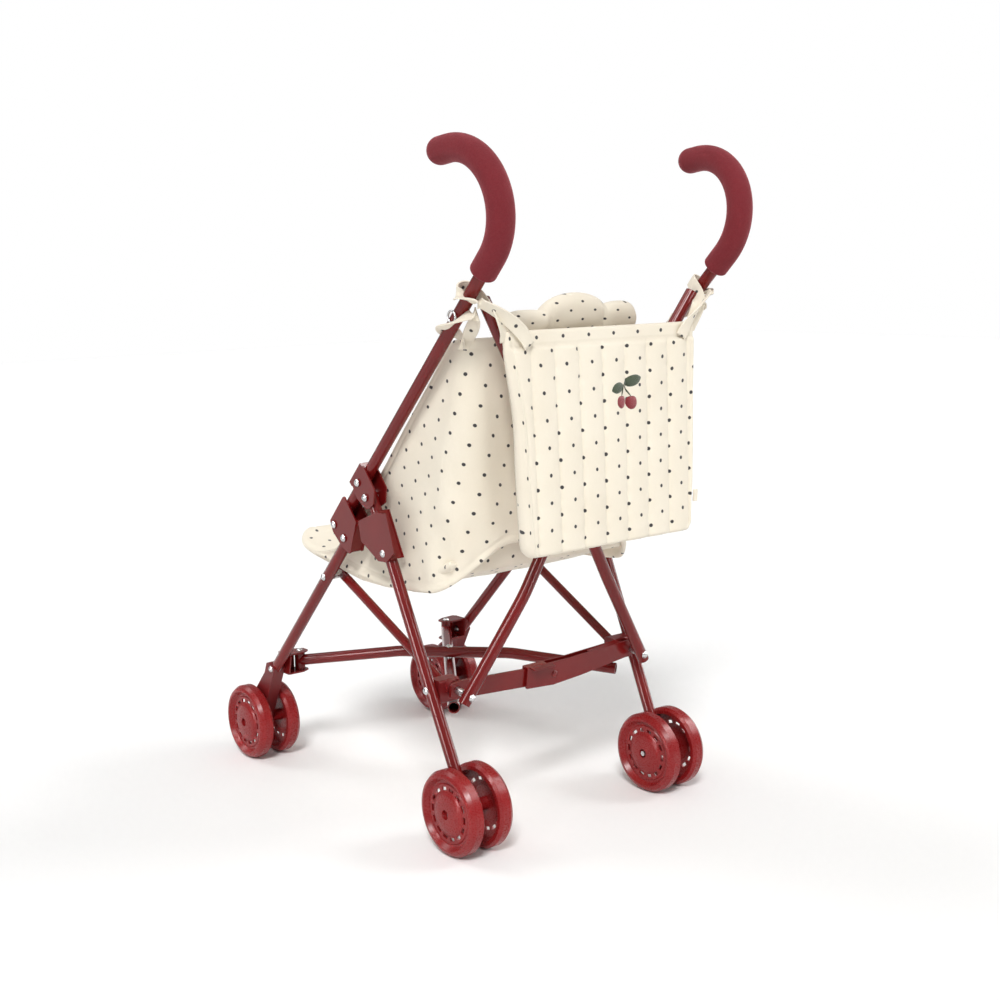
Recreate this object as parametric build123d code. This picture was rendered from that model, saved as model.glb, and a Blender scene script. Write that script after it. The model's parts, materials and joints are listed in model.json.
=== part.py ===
from build123d import *
import os
from math import asin, atan2, cos, degrees, radians, sin

os.makedirs("parts", exist_ok=True)

# A doll stroller with an umbrella-style frame. Millimetres; the stroller stands on Z = 0 and faces -Y,
# its left side is +X. The left side is drawn, and the right side is its mirror image.

# ---- driving dimensions ----
wheel_r = 33.0
wheel_w = 13.0
pair_gap = 14.6                 # between the two wheels of a pair
track = 205.6                   # between the middles of the left and right pairs
wheelbase = 301.8
rear_axle_y = 126.9
tube_r = 4.8                    # all frame tubes are 9.6 mm tube
tube_wall = 1.0
side_tilt = 1.776               # degrees that each side frame leans outwards
axle_r = 2.0
wheel_fit = 0.06                # radial running clearance of a wheel on its axle
pin_r = 1.6                     # rivet shank
pin_fit = 0.06                  # radial running clearance on a rivet
head_r = 3.0
head_h = 1.7
sheet = 1.2                     # thickness of pressed brackets

# ---- side frame, in its own plane: u is backwards (+Y), v is up the plane, w is outwards ----
handle_angle = 45.0
handle_foot = (-27.0, 229.5)
handle_rise = 300.1             # straight length from the foot to the start of the crook
crook_r = 43.6
crook_end = (149.7, 515.8)      # end of the crook's arc
crook_splay = 5.0               # how far the crook's end leans outwards from the side plane
grip_tip = 8.2                  # straight end of the crook
grip_r = 9.9
grip_lead = 15.0                # grip length on the straight tube below the crook
front_rivet = (-145.3, 86.1)    # front leg to fork
front_leg_slope = 1.021
front_leg_top = 229.0
rear_leg_top = 262.5
bracket_rivet_v = 271.0
leg_rivet_v = 260.1
plate_rivets = ((-23.4, 232.9), (-10.3, 223.6))
latch_rivet_v = 218.3
link_front = (93.9, 185.3)      # across and up, on the inner side of the front leg
link_rear = (89.7, 86.0, 117.0) # in the corner block
corner_rivet_v = 117.6

# ---- rear cross: two tubes in a leaning plane, one each side of it ----
cross_low = (90.7, 114.0, 115.9)
cross_high = (103.0, 158.5, 412.0)
cross_shift = 2.4               # both tubes' ends lie this far behind the plane of the pivots
cross_bow = 5.2                 # where they cross, one bows this far behind it and one in front
# ---- bottom cross ----
bar_front = (82.0, -141.6, 90.0)
bar_rear = (86.0, 91.5, 100.0)
bar_step = 10.0                 # the upper bar passes this far above the lower one
upper_rear_z = 98.0
# ---- locking brace between the corner blocks ----
brace_mid = (-6.0, -5.5)        # where the brace's two halves meet: across, and below the corner pivots

# ---- fabric ----
seat_z = 187.0
seat_half = 82.0
bag_top = (94.5, 390.0)         # half width and height of the bag's top edge
bag_low = (86.0, 229.0)
bag_back_y = 175.5

front_axle_y = rear_axle_y - wheelbase
side_x0 = track / 2 - wheel_r * sin(radians(side_tilt))
tilt_c = cos(radians(side_tilt))
tilt_s = sin(radians(side_tilt))
side_plane = Plane(origin=(side_x0, 0, 0), x_dir=(0, 1, 0), z_dir=(tilt_c, 0, -tilt_s))


def at_side(u, v, w=0.0):
    """A point of the left side frame, from its own plane to the stroller's frame."""
    return side_plane.from_local_coords(Vector(u, v, w))


def rod(start, end, radius):
    """A round solid from one point to another."""
    start, end = Vector(start), Vector(end)
    return Solid.make_cylinder(radius, (end - start).length, Plane(origin=start, z_dir=end - start))


def tube(start, end, radius=tube_r, wall=tube_wall):
    """A straight open-ended tube."""
    start, end = Vector(start), Vector(end)
    reach = (end - start).normalized()
    return rod(start, end, radius) - rod(start - reach, end + reach, radius - wall)


def dome(base, direction):
    """A rivet's domed head, flat side on the base point."""
    ball_r = (head_r ** 2 + head_h ** 2) / (2 * head_h)
    cut = degrees(asin((ball_r - head_h) / ball_r))
    direction = Vector(direction).normalized()
    centre = Vector(base) - direction * (ball_r - head_h)
    return Solid.make_sphere(ball_r, Plane(origin=centre, z_dir=direction), cut, 90, 360)


def rivet(start, end, blind=False):
    """A shank between two faces with a domed head on each, or only at its end when it is blind."""
    start, end = Vector(start), Vector(end)
    shank = rod(start, end, pin_r) + dome(end, end - start)
    return shank if blind else shank + dome(start, start - end)


def hole(start, end, clearance=pin_fit):
    """The space a rivet's shank needs, run past both faces."""
    start, end = Vector(start), Vector(end)
    reach = (end - start).normalized() * 3
    return rod(start - reach, end + reach, pin_r + clearance)


def slab(points, w_low, thickness, corner=0.0):
    """A flat plate of the side frame from its outline in u and v."""
    outline = make_face(Polyline(*points, close=True))
    if corner:
        outline = fillet(outline.vertices(), corner)
    where = side_plane * Pos(0, 0, w_low)
    return extrude(where * outline, amount=thickness, dir=side_plane.z_dir)


def on_handle(v):
    return (handle_foot[0] + (v - handle_foot[1]), v)


def on_front_leg(v):
    return (front_rivet[0] + (v - front_rivet[1]) / front_leg_slope, v)


rear_leg_slope = (rear_leg_top - wheel_r) / (rear_axle_y - 22.9)


def on_rear_leg(v):
    return (rear_axle_y - (v - wheel_r) / rear_leg_slope, v)


def mirrored(shape):
    return shape.mirror(Plane.YZ)


parts = {}


def put(name, shape):
    parts[name] = shape


def put_pair(name, shape):
    put(name + "_left", shape)
    put(name + "_right", mirrored(shape))


# ================= side frame =================
link_w = (link_front[0] - side_x0 - link_front[1] * tilt_s) / tilt_c
side_pins = {
    "bracket": (*on_handle(bracket_rivet_v), -7.4, 7.4),
    "leg_top": (*on_rear_leg(leg_rivet_v), -7.4, 7.4),
    "plate_a": (*plate_rivets[0], -7.4, 7.4),
    "plate_b": (*plate_rivets[1], -7.4, 7.4),
    "latch": (*on_rear_leg(latch_rivet_v), -6.2, 6.2),
    "link_front": (*on_front_leg(link_front[1]), link_w - 1.25, 4.9),
    "corner": (*on_rear_leg(corner_rivet_v), -10.0, 4.9),
    "fork": (*front_rivet, -7.05, 5.65),
}


def pin_ends(name):
    u, v, w_in, w_out = side_pins[name]
    return at_side(u, v, w_in), at_side(u, v, w_out)


def drilled(shape, *names):
    for name in names:
        shape = shape - hole(*pin_ends(name), clearance=0.02)
    return shape


def handle_path():
    """The crook's line: a straight tube, an arc that turns forward, and a short straight end."""
    run = Vector(cos(radians(handle_angle)), sin(radians(handle_angle)))
    foot = at_side(*handle_foot)
    bend = at_side(handle_foot[0] + run.X * handle_rise, handle_foot[1] + run.Y * handle_rise)
    end = at_side(crook_end[0], crook_end[1], crook_splay)
    arc = TangentArc(bend, end, tangent=(bend - foot).normalized())
    tip = end + (arc % 1) * grip_tip
    lead = bend - (bend - foot).normalized() * grip_lead
    return foot, lead, bend, arc, end, tip


foot, grip_start, bend, crook_arc, crook_stop, grip_stop = handle_path()


def along(first, radius):
    """A round solid along the handle's line from a point on the straight tube to the crook's end."""
    line = Wire([Edge.make_line(first, bend), crook_arc.edge()])
    disc = Plane(origin=first, z_dir=bend - first) * Circle(radius)
    return sweep(disc, path=line)


handle_core = along(foot, tube_r)
handle_bore = along(foot - (bend - foot).normalized(), tube_r - tube_wall) - rod(
    crook_stop, crook_stop - (crook_arc % 1) * 4, tube_r)
handle_tube = handle_core - handle_bore
put_pair("handle_tube", drilled(handle_tube, "bracket", "plate_a"))

grip_line = Wire([Edge.make_line(grip_start, bend), crook_arc.edge(),
                  Edge.make_line(crook_stop, grip_stop)])
grip_body = sweep(Plane(origin=grip_start, z_dir=bend - grip_start) * Circle(grip_r), path=grip_line)
grip_end = Solid.make_sphere(grip_r, Plane(origin=grip_stop, z_dir=crook_arc % 1), 0, 90, 360)
grip_rims = grip_body.edges().filter_by(GeomType.CIRCLE).sort_by_distance(grip_start)
grip = grip_body.fillet(2.0, [grip_rims[0]]) + grip_end
put_pair("handle_grip", grip - along(foot, tube_r + 0.02))

front_leg = tube(at_side(*on_front_leg(front_rivet[1] - 8)), at_side(*on_front_leg(front_leg_top)))
put_pair("front_leg", drilled(front_leg, "plate_b", "link_front", "fork"))

rear_leg = tube(at_side(*on_rear_leg(wheel_r - 4)), at_side(*on_rear_leg(rear_leg_top)))
axle_left = track / 2 - wheel_w - pair_gap / 2 - 0.3
axle_right = track / 2 + wheel_w + pair_gap / 2 - 3.2


def axle(y, inner):
    """A steel axle with two collars, from inner to the wheels, that keep the wheels off the leg."""
    body = rod((axle_left, y, wheel_r), (axle_right, y, wheel_r), axle_r)
    for side in (-1, 1):
        near = (track / 2 + side * inner, y, wheel_r)
        body += rod(near, (track / 2 + side * (pair_gap / 2 - 0.4), y, wheel_r), 3.6)
    return body


def axle_hole(y):
    return rod((axle_left - 5, y, wheel_r), (axle_right + 5, y, wheel_r), axle_r + 0.02)


put_pair("rear_leg", drilled(rear_leg - axle_hole(rear_axle_y), "leg_top", "latch", "corner"))
put_pair("front_axle", axle(front_axle_y, 5.9))
put_pair("rear_axle", axle(rear_axle_y, 5.1))

# The two-cheek bracket that hinges the rear leg's top under the handle tube.
bracket_shape = [(4.5, 271.0), (22.5, 286.0), (36.5, 267.5), (34.0, 255.5), (25.0, 250.5), (12.0, 258.0)]
cheeks = [slab(bracket_shape, w, sheet, 3.0) for w in (5.0, -5.0 - sheet)]
roof = slab([(0.5, 270.0), (17.0, 286.5), (20.2, 283.3), (3.7, 266.8)], -5.0, 10.0)
roof = roof - rod(at_side(-27, 229.5), at_side(123, 379.5), tube_r + 0.1)
spacers = [rod(at_side(*on_handle(bracket_rivet_v), w), at_side(*on_handle(bracket_rivet_v), w + 1.2), 3.0)
           for w in (6.2, -7.4)]
upper_bracket = cheeks[0] + cheeks[1] + roof + spacers[0] + spacers[1]
leg_u = on_rear_leg(leg_rivet_v)[0]
for w in (6.2, -7.4):
    upper_bracket += rod(at_side(leg_u, leg_rivet_v, w), at_side(leg_u, leg_rivet_v, w + 1.2), 3.0)
put_pair("upper_bracket", drilled(upper_bracket, "bracket", "leg_top"))

# The pressed channel that joins the handle tube's foot to the front leg's top.
plate_shape = [(-7.0, 258.5), (-29.5, 235.5), (-26.0, 226.5), (-13.5, 215.5), (-3.0, 211.0), (8.5, 239.0)]
front_plate = slab(plate_shape, 5.2, sheet, 2.0) + slab(plate_shape, -5.2 - sheet, sheet, 2.0)
front_plate += slab([(-3.6, 212.4), (9.4, 238.4), (8.2, 240.2), (-5.2, 213.6)], -5.2, 10.4)
for pin_name in ("plate_a", "plate_b"):
    u, v = side_pins[pin_name][:2]
    front_plate += rod(at_side(u, v, 6.4), at_side(u, v, 7.4), 3.2)
    front_plate += rod(at_side(u, v, -6.4), at_side(u, v, -7.4), 3.2)
put_pair("front_plate", drilled(front_plate, "plate_a", "plate_b"))

# The channel that clips round the rear leg, with a long cheek forward to the front plate.
cheek_shape = [(11.5, 240.0), (36.5, 250.0), (50.5, 250.5), (59.0, 221.0), (47.5, 212.0), (36.5, 211.5),
               (14.0, 224.5)]
back_low = on_rear_leg(213.0)
back_high = on_rear_leg(249.0)
leg_channel = slab(cheek_shape, 5.0, sheet, 1.5)
leg_channel += slab([(back_high[0] - 3, 249), (back_high[0] + 9, 251), (back_low[0] + 9, 215),
                     (back_low[0] - 6, 212)], -5.0 - sheet, sheet)
leg_channel += slab([(back_low[0] + 6.2, 214.8), (back_high[0] + 6.2, 250.8), (back_high[0] + 8.2, 250.8),
                     (back_low[0] + 8.2, 214.8)], -5.0, 10.0)
put_pair("leg_channel", drilled(leg_channel, "latch"))

# The side link from the front leg down into the corner block, on the inner side.
link_a = at_side(*on_front_leg(link_front[1]), link_w)
link_b = Vector(*link_rear)
link_run = (link_b - link_a).normalized()
side_link = tube(link_a + link_run * 9, link_b, 3.8, 0.9)
flat_run = (link_run - side_plane.z_dir * link_run.dot(side_plane.z_dir)).normalized()
flat_plane = Plane(origin=link_a + flat_run * 6, x_dir=flat_run, z_dir=side_plane.z_dir)
side_link += flat_plane * Box(24, 8.4, 2.4)
put_pair("side_link", drilled(side_link, "link_front"))
u, v = side_pins["link_front"][:2]
link_spacer = drilled(rod(at_side(u, v, link_w + 1.25), at_side(u, v, -tube_r - 0.05), 3.4), "link_front")

# ================= corner block =================
corner_u = on_rear_leg(corner_rivet_v)[0]
lean = atan2(cross_high[1] - cross_low[1], cross_high[2] - cross_low[2])
normal = Vector(0, cos(lean), -sin(lean))
corner_pin = Vector(*cross_low)


def on_pin(offset):
    """A point on the corner pivot's line, measured backwards along it."""
    return corner_pin + normal * offset


pivot_root = -24.0              # the pivot's blind end, inside the block
block = Pos(92.0, 88.0, 115.5) * Box(19.0, 14.0, 18.0)
block = fillet(block.edges().filter_by(Axis.X), 2.0)
boss = rod(on_pin(-22.0), on_pin(-15.8), 5.8)
leg_clear = rod(at_side(*on_rear_leg(wheel_r - 4)), at_side(*on_rear_leg(rear_leg_top)), tube_r + 0.05)
corner_block = block + boss - leg_clear - hole(on_pin(pivot_root + 2.8), on_pin(20.0), clearance=0.02)
corner_block -= rod(link_a, link_b + link_run * 0.3, 3.85)
corner_block = drilled(corner_block, "corner")
put_pair("corner_block", corner_block)

# ================= front bracket and fork =================
pin_x, pin_y, pin_z = bar_front
jaw_half = 7.8                  # each jaw's inner face from the bar's middle
jaw_out = side_x0 + pin_z * tilt_s / tilt_c - 6.3


def jaw(z_low):
    """One horizontal jaw of the front bracket, from the leg in to the bar's pin."""
    outline = Polyline((jaw_out, pin_y + 8), (jaw_out, pin_y - 10), (pin_x + 1, pin_y - 8),
                       (pin_x - 6.5, pin_y - 4), (pin_x - 6.5, pin_y + 4), (pin_x + 1, pin_y + 8), close=True)
    face = fillet(make_face(outline).vertices(), 1.8)
    return extrude(Pos(0, 0, z_low) * face, amount=1.4)


cheek_low, cheek_high = pin_z - jaw_half - 1.4, pin_z + jaw_half + 1.4
cheek_outline = [(pin_y - 10, cheek_low), (pin_y + 8, cheek_low), (pin_y + 13, cheek_high),
                 (pin_y - 8, cheek_high)]
cheek = slab(cheek_outline, -7.0, 1.35, 1.5)
web_outline = Polyline((pin_x + 2, pin_y - 8.15), (jaw_out - 0.3, pin_y - 9.7), (jaw_out - 0.3, pin_y - 8.4),
                       (pin_x + 2, pin_y - 6.85), close=True)
web = extrude(Pos(0, 0, cheek_low) * make_face(web_outline), amount=cheek_high - cheek_low)
front_bracket = jaw(pin_z + jaw_half) + jaw(pin_z - jaw_half - 1.4) + cheek + web
bar_pin = (Vector(pin_x, pin_y, cheek_low - 0.05), Vector(pin_x, pin_y, cheek_high + 0.05))
front_bracket = drilled(front_bracket, "fork") - hole(*bar_pin, clearance=0.02)
put_pair("front_bracket", front_bracket)

fork_u, fork_v = front_rivet
fork_outline = [(fork_u - 6.5, fork_v + 5.5), (fork_u + 6.5, fork_v + 2.0), (fork_u - 6.0, fork_v - 22.0),
                (front_axle_y + 6.5, wheel_r), (front_axle_y, wheel_r - 6.5), (front_axle_y - 6.5, wheel_r),
                (front_axle_y - 3.0, wheel_r + 26.0), (fork_u - 11.5, fork_v - 5.0)]
fork_face = make_face(Polyline(*fork_outline, close=True))
fork_face = fillet(fork_face.vertices(), 2.4)
fork = extrude(side_plane * Pos(0, 0, -5.6) * fork_face, amount=11.2, dir=side_plane.z_dir)
fork = fork - rod(at_side(*on_front_leg(front_rivet[1] - 8.3)), at_side(*on_front_leg(140)), tube_r + 0.05)
fork = fork - axle_hole(front_axle_y)
put_pair("front_fork", drilled(fork, "fork"))

# ================= side rivets =================
side_rivets = [rivet(*pin_ends(name), blind=(name == "corner")) for name in side_pins]
side_rivets.append(link_spacer)
put("side_rivets_left", Compound(side_rivets))
put("side_rivets_right", Compound([mirrored(piece) for piece in side_rivets]))

# ================= wheels =================


def wheel():
    """One moulded wheel about the X axis, its dished outer face towards +X."""
    half = wheel_w / 2
    rim = Polyline((-half, wheel_r - 2.2), (-half + 2.2, wheel_r), (half - 4.0, wheel_r),
                   (half - 0.9, wheel_r - 2.0), (half, wheel_r - 4.2), (half, wheel_r - 5.4),
                   (half - 2.6, wheel_r - 7.2), (half - 3.6, wheel_r - 8.0), (half - 3.6, wheel_r - 9.6),
                   (half - 2.9, wheel_r - 10.4), (half - 2.7, wheel_r - 15.3), (half - 1.8, wheel_r - 16.5),
                   (half - 0.9, wheel_r - 18.4), (half - 0.3, wheel_r - 21.0), (half + 0.1, wheel_r - 24.0),
                   (half + 0.3, wheel_r - 27.5), (half + 0.3, 3.7),
                   (half - 2.4, 3.7), (half - 2.4, axle_r + wheel_fit), (-half, axle_r + wheel_fit),
                   (-half, 5.2), (half - 2.6, 5.2), (half - 2.4, wheel_r - 19.0),
                   (half - 4.1, wheel_r - 15.0), (half - 5.2, wheel_r - 6.4), (-half, wheel_r - 5.2),
                   close=True)
    body = revolve(Plane.XY * make_face(rim), Axis.X, 360)
    slot = Pos(half - 4, wheel_r * 0.585, 0) * Box(8, 2.7, 5.2)
    for turn in range(14):
        body = body - Rot(turn * 360 / 14, 0, 0) * slot
    return body


wheel_outer = wheel()
wheel_inner = wheel_outer.mirror(Plane.YZ)
pair_offset = (pair_gap + wheel_w) / 2
for end_name, axle_y in (("front", front_axle_y), ("rear", rear_axle_y)):
    outer = Pos(track / 2 + pair_offset, axle_y, wheel_r) * wheel_outer
    inner = Pos(track / 2 - pair_offset, axle_y, wheel_r) * wheel_inner
    put_pair(end_name + "_wheel_outer", outer)
    put_pair(end_name + "_wheel_inner", inner)

# ================= rear cross =================
low, high = Vector(*cross_low), Vector(*cross_high)
high_other = Vector(-high.X, high.Y, high.Z)
share = low.X / (low.X + high.X)
cross_mid = Vector(0, low.Y + (high.Y - low.Y) * share, low.Z + (high.Z - low.Z) * share)
cross_run = (high_other - low).normalized()


def cross_tube(bow):
    """The tube from the left corner up to the right handle, bowed off the plane where the two cross."""
    reach_low = (cross_mid - low).length
    reach_high = (high_other - low).length
    stations = ((-7.0, cross_shift), (reach_low - 80, cross_shift), (reach_low - 26, bow),
                (reach_low + 26, bow), (reach_low + 80, cross_shift), (reach_high + 1.5, cross_shift))
    line = FilletPolyline(*[low + cross_run * far + normal * off for far, off in stations], radius=120)
    start = Plane(origin=line @ 0, z_dir=line % 0)
    body = sweep(start * Circle(tube_r), path=line) - sweep(start * Circle(tube_r - tube_wall), path=line)
    for point in (low, cross_mid):
        body = body - hole(point - normal * 15, point + normal * 15)
    return body


# The front tube runs from the left corner, the back one from the right corner.
put("cross_tube_front", cross_tube(-cross_bow))
put("cross_tube_back", mirrored(cross_tube(cross_bow)))
cross_grip = cross_bow + tube_r + 0.2
put("cross_rivet", rivet(cross_mid - normal * cross_grip, cross_mid + normal * cross_grip))

# One long pivot rivet at each corner: block, brace and cross tube turn on it. Shoulders hold them apart.
pivot_tail = cross_shift + tube_r + 0.2
tube_face = cross_shift - tube_r - 0.2
pivot = rivet(on_pin(pivot_root), on_pin(pivot_tail), blind=True)
pivot_left = pivot + rod(on_pin(-15.75), on_pin(-13.4), head_r)
pivot_left += rod(on_pin(-11.0), on_pin(tube_face), head_r)
pivot_right = pivot + rod(on_pin(-8.6), on_pin(tube_face), head_r)
put("corner_pivot_left", pivot_left)
put("corner_pivot_right", mirrored(pivot_right))

# ================= bottom cross =================


def bottom_bar(step):
    """The bar from the right front bracket back to the left corner; it may arch over the other bar."""
    front = Vector(-bar_front[0], bar_front[1], bar_front[2])
    rear = Vector(*bar_rear)
    if step:
        rear = Vector(rear.X, rear.Y, upper_rear_z)
        knees = [bar_crossing(-45) + Vector(0, 0, step), bar_crossing(55) + Vector(0, 0, step)]
        line = FilletPolyline(front, *knees, rear, radius=80)
        start = Plane(origin=line @ 0, z_dir=line % 0)
        body = sweep(start * Circle(tube_r), path=line) - sweep(start * Circle(tube_r - tube_wall), path=line)
    else:
        body = tube(front, rear)
    body = body + Pos(*front) * Cylinder(4.6, 2 * jaw_half - 0.6)
    return body - hole(front - Vector(0, 0, 9), front + Vector(0, 0, 9))


def bar_crossing(further=0.0):
    """The point of the lower bar's line under the crossing, or further back along it."""
    front = Vector(-bar_front[0], bar_front[1], bar_front[2])
    run = (Vector(*bar_rear) - front).normalized()
    return front + run * (bar_front[0] / run.X + further)


bar_low = bar_crossing() - Vector(0, 0, tube_r + 0.2)
bar_high = bar_crossing() + Vector(0, 0, bar_step + tube_r + 0.2)
put("bottom_bar_lower", bottom_bar(0) - hole(bar_low, bar_high, clearance=0.02))
put("bottom_bar_upper", mirrored(bottom_bar(bar_step)) - hole(bar_low, bar_high, clearance=0.7))
put("bottom_rivet", rivet(bar_low, bar_high))
put_pair("bar_pin", rivet(*bar_pin))

# ================= locking brace =================
# Its own plane turns with the corner pivots: x across the stroller, y up the leaning plane, z forwards.
brace_plane = Plane(origin=(0, corner_pin.Y, corner_pin.Z), x_dir=(1, 0, 0), z_dir=-normal)
reach = low.X


def brace_plate(points, offset, thickness, corner=1.2):
    """A flat plate of the brace; offset is how far its back face lies in front of the pivot plane."""
    face = fillet(make_face(Polyline(*points, close=True)).vertices(), corner)
    return extrude(brace_plane * Pos(0, 0, offset) * face, amount=thickness, dir=brace_plane.z_dir)


def brace_point(x, up, back=0.0):
    """A point of the brace's plane, and how far behind it."""
    return brace_plane.from_local_coords(Vector(x, up, -back))


def brace_hole(x, up):
    return hole(brace_point(x, up, -30), brace_point(x, up, 5))


mid_x, mid_up = brace_mid
bar_outline = [(reach + 6, -6.5), (reach + 6, 5.5), (reach - 4, 6.8), (mid_x + 4, mid_up + 7.5),
               (mid_x - 6, mid_up + 5.0), (mid_x - 6, mid_up - 5.0), (mid_x + 4, mid_up - 8.0),
               (reach - 10, -8.2)]
put("brace_bar", brace_plate(bar_outline, 11.2, 2.0, 2.5) - brace_hole(reach, 0))

overhang = mid_x + 29
flange_outline = [(overhang, mid_up - 7.4), (overhang, mid_up + 10.4), (mid_x - 14, mid_up + 10.6),
                  (-reach + 4, 8.4), (-reach - 6, 4.6), (-reach - 6, -5.0), (-reach + 6, -6.6),
                  (mid_x - 30, mid_up - 7.0), (mid_x, mid_up - 9.4)]
brace_channel = brace_plate(flange_outline, 8.8, 1.2) + brace_plate(flange_outline, 14.4, 1.2)
web_left = [(overhang, mid_up + 9.4), (overhang, mid_up + 10.4), (mid_x + 8, mid_up + 10.5),
            (mid_x + 8, mid_up + 9.4)]
web_right = [(mid_x - 38, mid_up + 10.0), (mid_x - 38, mid_up + 11.3), (-reach + 12, 7.9),
             (-reach + 12, 6.7)]
for outline in (web_left, web_right):
    brace_channel += brace_plate(outline, 8.8, 6.8, 0.2)
brace_channel -= brace_hole(-reach, 0)
# The middle rivet shows as a head on each flange; the bar's end lies free between them.
for inside, outside in ((-9.9, -8.7), (-14.5, -15.7)):
    tip = brace_point(mid_x, mid_up, outside)
    brace_channel += rod(brace_point(mid_x, mid_up, inside), tip, pin_r)
    brace_channel += dome(tip, tip - brace_point(mid_x, mid_up, inside))
put("brace_channel", brace_channel)

pedal_outline = [(mid_x + 27, mid_up + 9.4), (mid_x + 27, mid_up + 10.6), (mid_x + 5, mid_up + 10.6),
                 (mid_x + 5, mid_up + 9.4)]
put("release_pedal", brace_plate(pedal_outline, 2.9, 5.85, 0.3))

# ================= fabric =================


def profile_slab(points, half_width):
    """A slab across the stroller from its outline in y and z."""
    face = make_face(Polyline(*points, close=True))
    return extrude(Plane.YZ.offset(-half_width) * face, amount=2 * half_width, dir=(1, 0, 0))


lip_y, heel_y = -119.0, 103.0
base_outline = [(lip_y, 207.0), (-100.0, 198.0), (-60.0, 189.5), (0.0, seat_z), (50.0, seat_z + 4.0),
                (heel_y, seat_z + 14.0), (heel_y, seat_z + 10.5), (50.0, seat_z + 0.5), (0.0, seat_z - 3.5),
                (-60.0, seat_z - 1.0), (-100.0, 194.5), (lip_y - 1.5, 203.5)]
back_outline = [(102.3, 205.0), (132.0, 384.0), (139.0, 384.0), (108.9, 205.0)]
roll_outline = [(126.5, 385.0), (129.0, 412.0), (135.0, 415.5), (141.5, 411.0), (139.5, 385.0)]
put("seat_base", profile_slab(base_outline, seat_half))
put("seat_back", profile_slab(back_outline, seat_half))
put("headrest", profile_slab(roll_outline, 62.0))

wing_plane = Plane(origin=(seat_half + 3.0, 0, seat_z), x_dir=(0, 1, 0), z_dir=(1, 0, -0.075))
wing_outline = [(-100.0, 12.0), (-60.0, 5.0), (100.0, 5.0), (136.0, 200.0), (131.0, 200.0), (-12.0, 56.0)]
wing = extrude(wing_plane * make_face(Polyline(*wing_outline, close=True)), amount=2.0, dir=wing_plane.z_dir)
put_pair("seat_wing", wing)

top_half, top_z = bag_top
low_half, low_z = bag_low
front_top, front_low = 166.8, 157.0     # the bag's front face at its top and its bottom


def bag_layer(inset, floor):
    """The bag's closed shape, or its inside, lofted from the floor to the mouth."""
    rings = []
    for half, z, front in ((low_half, low_z + floor, front_low), (top_half, top_z + floor, front_top)):
        depth = bag_back_y - front - 2 * inset
        middle = (bag_back_y + front) / 2
        rings.append(Pos(0, middle, z) * Rectangle(2 * (half - inset), depth))
    return loft(rings)


put("bag_body", bag_layer(0.0, 0.0) - bag_layer(1.8, 2.5))

strap_v = 421.5
strap_u = on_handle(strap_v)[0]
loop_low = at_side(strap_u - 4, strap_v - 4)
loop_high = at_side(strap_u + 4, strap_v + 4)
loop_run = (loop_high - loop_low).normalized()
strap_end = Vector(top_half - 4.0, bag_back_y - 2.2, top_z + 6.8)
off_tube = strap_end - loop_low - loop_run * loop_run.dot(strap_end - loop_low)
strap_start = (loop_low + loop_high) / 2 + off_tube.normalized() * 5.9
strap_run = strap_end - strap_start
band_plane = Plane(origin=(strap_start + strap_end) / 2, x_dir=strap_run, z_dir=strap_run.cross(loop_run))
strap = rod(loop_low, loop_high, tube_r + 1.7) + band_plane * Box(strap_run.length, 8.0, 1.6)
strap = strap - rod(loop_low - loop_run * 9, loop_high + loop_run * 9, tube_r + 0.3)
put_pair("bag_strap", strap)

ring_centre = at_side(on_handle(401.7)[0], 401.7, tube_r + 0.85)
ring = Plane(origin=ring_centre, z_dir=side_plane.z_dir) * Torus(4.2, 0.8)
put("strap_ring", ring)

for name in parts:
    export_step(parts[name], "parts/" + name + ".step")
print(len(parts), "nodes")
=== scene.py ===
import json
import math
import bpy
from mathutils import Matrix, Vector, noise


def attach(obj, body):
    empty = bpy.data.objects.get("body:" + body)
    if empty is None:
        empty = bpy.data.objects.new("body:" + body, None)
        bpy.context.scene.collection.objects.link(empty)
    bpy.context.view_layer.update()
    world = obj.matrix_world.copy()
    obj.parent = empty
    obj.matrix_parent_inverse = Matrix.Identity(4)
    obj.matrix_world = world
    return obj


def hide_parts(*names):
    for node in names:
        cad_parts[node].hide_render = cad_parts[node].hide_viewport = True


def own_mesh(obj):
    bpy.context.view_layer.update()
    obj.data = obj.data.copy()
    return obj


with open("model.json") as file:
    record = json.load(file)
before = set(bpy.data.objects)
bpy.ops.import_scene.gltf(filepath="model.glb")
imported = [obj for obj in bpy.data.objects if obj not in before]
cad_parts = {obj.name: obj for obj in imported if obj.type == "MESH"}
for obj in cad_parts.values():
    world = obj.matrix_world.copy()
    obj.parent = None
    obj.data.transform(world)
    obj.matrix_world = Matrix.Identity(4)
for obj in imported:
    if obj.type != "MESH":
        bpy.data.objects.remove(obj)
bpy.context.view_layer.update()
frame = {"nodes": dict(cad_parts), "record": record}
print("stroller frame loaded:", len(frame["nodes"]), "nodes")

mm = 0.001
nodes = frame["nodes"]

# camera and studio

studio = {
    "eye": (0.7398, 0.9624, 0.4378),
    "yaw": -128.929,
    "pitch": -9.203,
    "roll": -1.088,
    "lens": 52.67,
    "suns": (((0.75, 0.80, 1.05), 14, 2.00), ((-1.0, 0.75, 1.0), 20, 0.70), ((0.5, -1.0, 1.2), 24, 0.55),
             ((0.75, 0.30, 0.50), 5, 0.15)),
    "skyColour": (1.0, 0.995, 0.985, 1),
    "skyStrength": 0.42,
    "strips": (((1.0, 0.05), 0.07, 26.0), ((-0.2, 0.98), 0.045, 20.0), ((-0.95, 0.25), 0.07, 20.0)),
    "backdropStrength": 1.0,
    "floorColour": (0.93, 0.93, 0.93, 1),
}


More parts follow.
